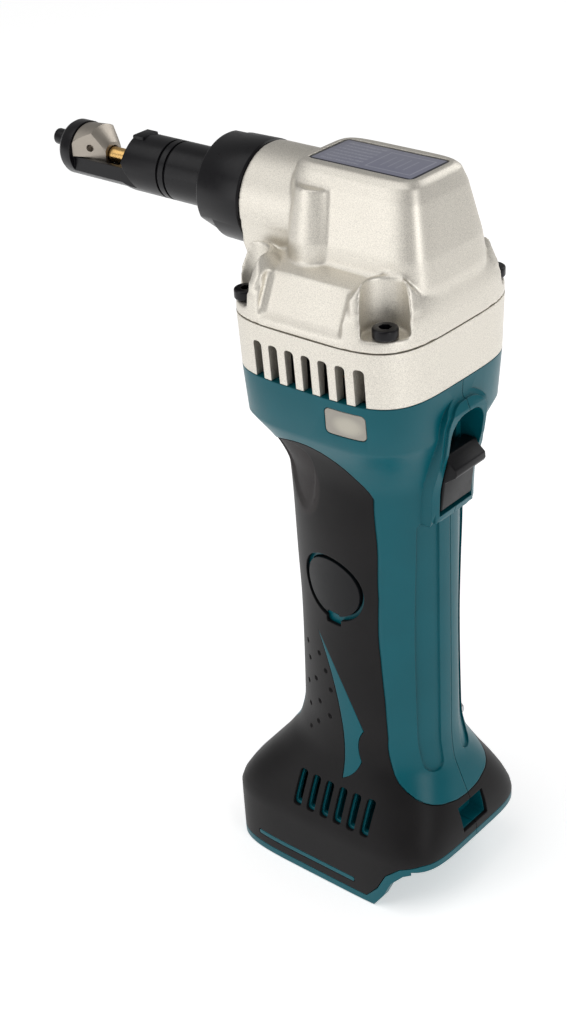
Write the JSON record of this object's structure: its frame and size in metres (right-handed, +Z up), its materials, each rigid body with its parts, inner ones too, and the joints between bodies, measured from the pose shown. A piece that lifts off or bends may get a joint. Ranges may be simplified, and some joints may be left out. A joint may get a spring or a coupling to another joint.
{
  "type": "sheet metal nibbler",
  "caption": "Slim battery-driven sheet metal nibbler with a vertical grip, angled cast gear case, turnable die holder, slide switch and an open battery foot.",
  "frame": {"origin": "centre of the bounding box in plan, at the lower edges of the battery rails", "axes": "+Z up along the motor axis, nose towards -X, slide switch on the +X side"},
  "size_m": [0.196, 0.079, 0.2907],
  "materials": {
    "teal_plastic": "satin moulded plastic",
    "black_rubber": "fine matte",
    "cast_aluminium": "satin painted casting",
    "black_steel": "black oxide, satin",
    "steel": "ground",
    "die_steel": "ground",
    "gold_steel": "coated, polished",
    "copper": "bare",
    "bronze": "bare",
    "black_plastic": "fine texture",
    "lens_plastic": "frosted",
    "label_foil": "satin foil",
    "carbon": "dull",
    "circuit_board": "lacquered"
  },
  "bodies": {
    "body": {"housing_left": "teal_plastic", "housing_right": "teal_plastic", "grip_skin_left": "black_rubber", "grip_skin_right": "black_rubber", "seal_ring": "black_rubber", "vent_ring": "cast_aluminium", "gear_case": "cast_aluminium", "bearing_plate": "cast_aluminium", "gear_plate": "cast_aluminium", "case_screw_1": "black_steel", "case_screw_2": "black_steel", "case_screw_3": "black_steel", "case_screw_4": "black_steel", "housing_screw_1": "steel", "housing_screw_2": "steel", "housing_screw_3": "steel", "brush_spring_left": "steel", "brush_spring_right": "steel", "motor_can": "steel", "motor_bearing_low": "steel", "motor_bearing_high": "steel", "crank_bearing_low": "steel", "crank_bearing_high": "steel", "terminal_blade_1": "copper", "terminal_blade_2": "copper", "brush_holder_left": "bronze", "brush_holder_right": "bronze", "countershaft_bearing_low": "bronze", "countershaft_bearing_high": "bronze", "ram_guide": "bronze", "holder_bush": "bronze", "brush_cover_left": "black_plastic", "brush_cover_right": "black_plastic", "fan_baffle": "black_plastic", "switch_unit": "black_plastic", "terminal_block": "black_plastic", "indicator_lens_left": "lens_plastic", "indicator_lens_right": "lens_plastic", "name_plate": "label_foil", "carbon_brush_left": "carbon", "carbon_brush_right": "carbon", "control_board": "circuit_board"},
    "armature": {"armature_shaft": "steel", "armature_core": "steel", "armature_winding": "copper", "commutator": "copper", "cooling_fan": "black_plastic"},
    "countershaft": {"countershaft": "steel", "countershaft_gear": "steel"},
    "crank": {"crank_shaft": "steel", "crank_gear": "steel", "crank_roller": "steel"},
    "ram": {"ram": "steel"},
    "die_holder": {"die_holder": "black_steel", "die": "die_steel", "die_bolt": "black_steel"},
    "punch": {"punch": "gold_steel"},
    "lock_nut": {"lock_nut": "black_steel"},
    "switch_slider": {"switch_slider": "black_plastic"},
    "switch_lever": {"switch_lever": "black_plastic"}
  },
  "joints": [
    {"name": "armature_spin", "type": "hinge", "parent": "body", "child": "armature", "pos_m": [0.053, 0, 0.176], "axis": [0, 0, 1], "continuous": true},
    {"name": "countershaft_spin", "type": "hinge", "parent": "body", "child": "countershaft", "pos_m": [0.04372, -0.01401, 0.245], "axis": [0, 0, 1], "continuous": true},
    {"name": "crank_spin", "type": "hinge", "parent": "body", "child": "crank", "pos_m": [0.058, 0, 0.262], "axis": [0, 0, 1], "continuous": true},
    {"name": "ram_stroke", "type": "slide", "parent": "body", "child": "ram", "axis": [1, 0, 0], "range_m": [0, 0.005]},
    {"name": "die_holder_turn", "type": "hinge", "parent": "body", "child": "die_holder", "pos_m": [-0.037, 0, 0.2693], "axis": [1, 0, 0], "continuous": true},
    {"name": "punch_stroke", "type": "slide", "parent": "die_holder", "child": "punch", "axis": [1, 0, 0], "range_m": [0, 0.005]},
    {"name": "lock_nut_turn", "type": "hinge", "parent": "body", "child": "lock_nut", "pos_m": [0, 0, 0.2693], "axis": [1, 0, 0], "continuous": true},
    {"name": "switch_slide", "type": "slide", "parent": "body", "child": "switch_slider", "axis": [0, 0, 1], "range_m": [0, 0.007], "stiffness_N_per_m": 300},
    {"name": "switch_lever_tilt", "type": "hinge", "parent": "switch_slider", "child": "switch_lever", "pos_m": [0.086, 0, 0.172], "axis": [0, -1, 0], "range_deg": [0, 4], "stiffness_Nm_per_rad": 0.2}
  ],
  "couplings": [
    {"joint": "countershaft_spin", "follows": "armature_spin", "ratio": -0.3125},
    {"joint": "crank_spin", "follows": "armature_spin", "ratio": 0.10417},
    {"joint": "punch_stroke", "follows": "ram_stroke", "ratio": 1}
  ]
}
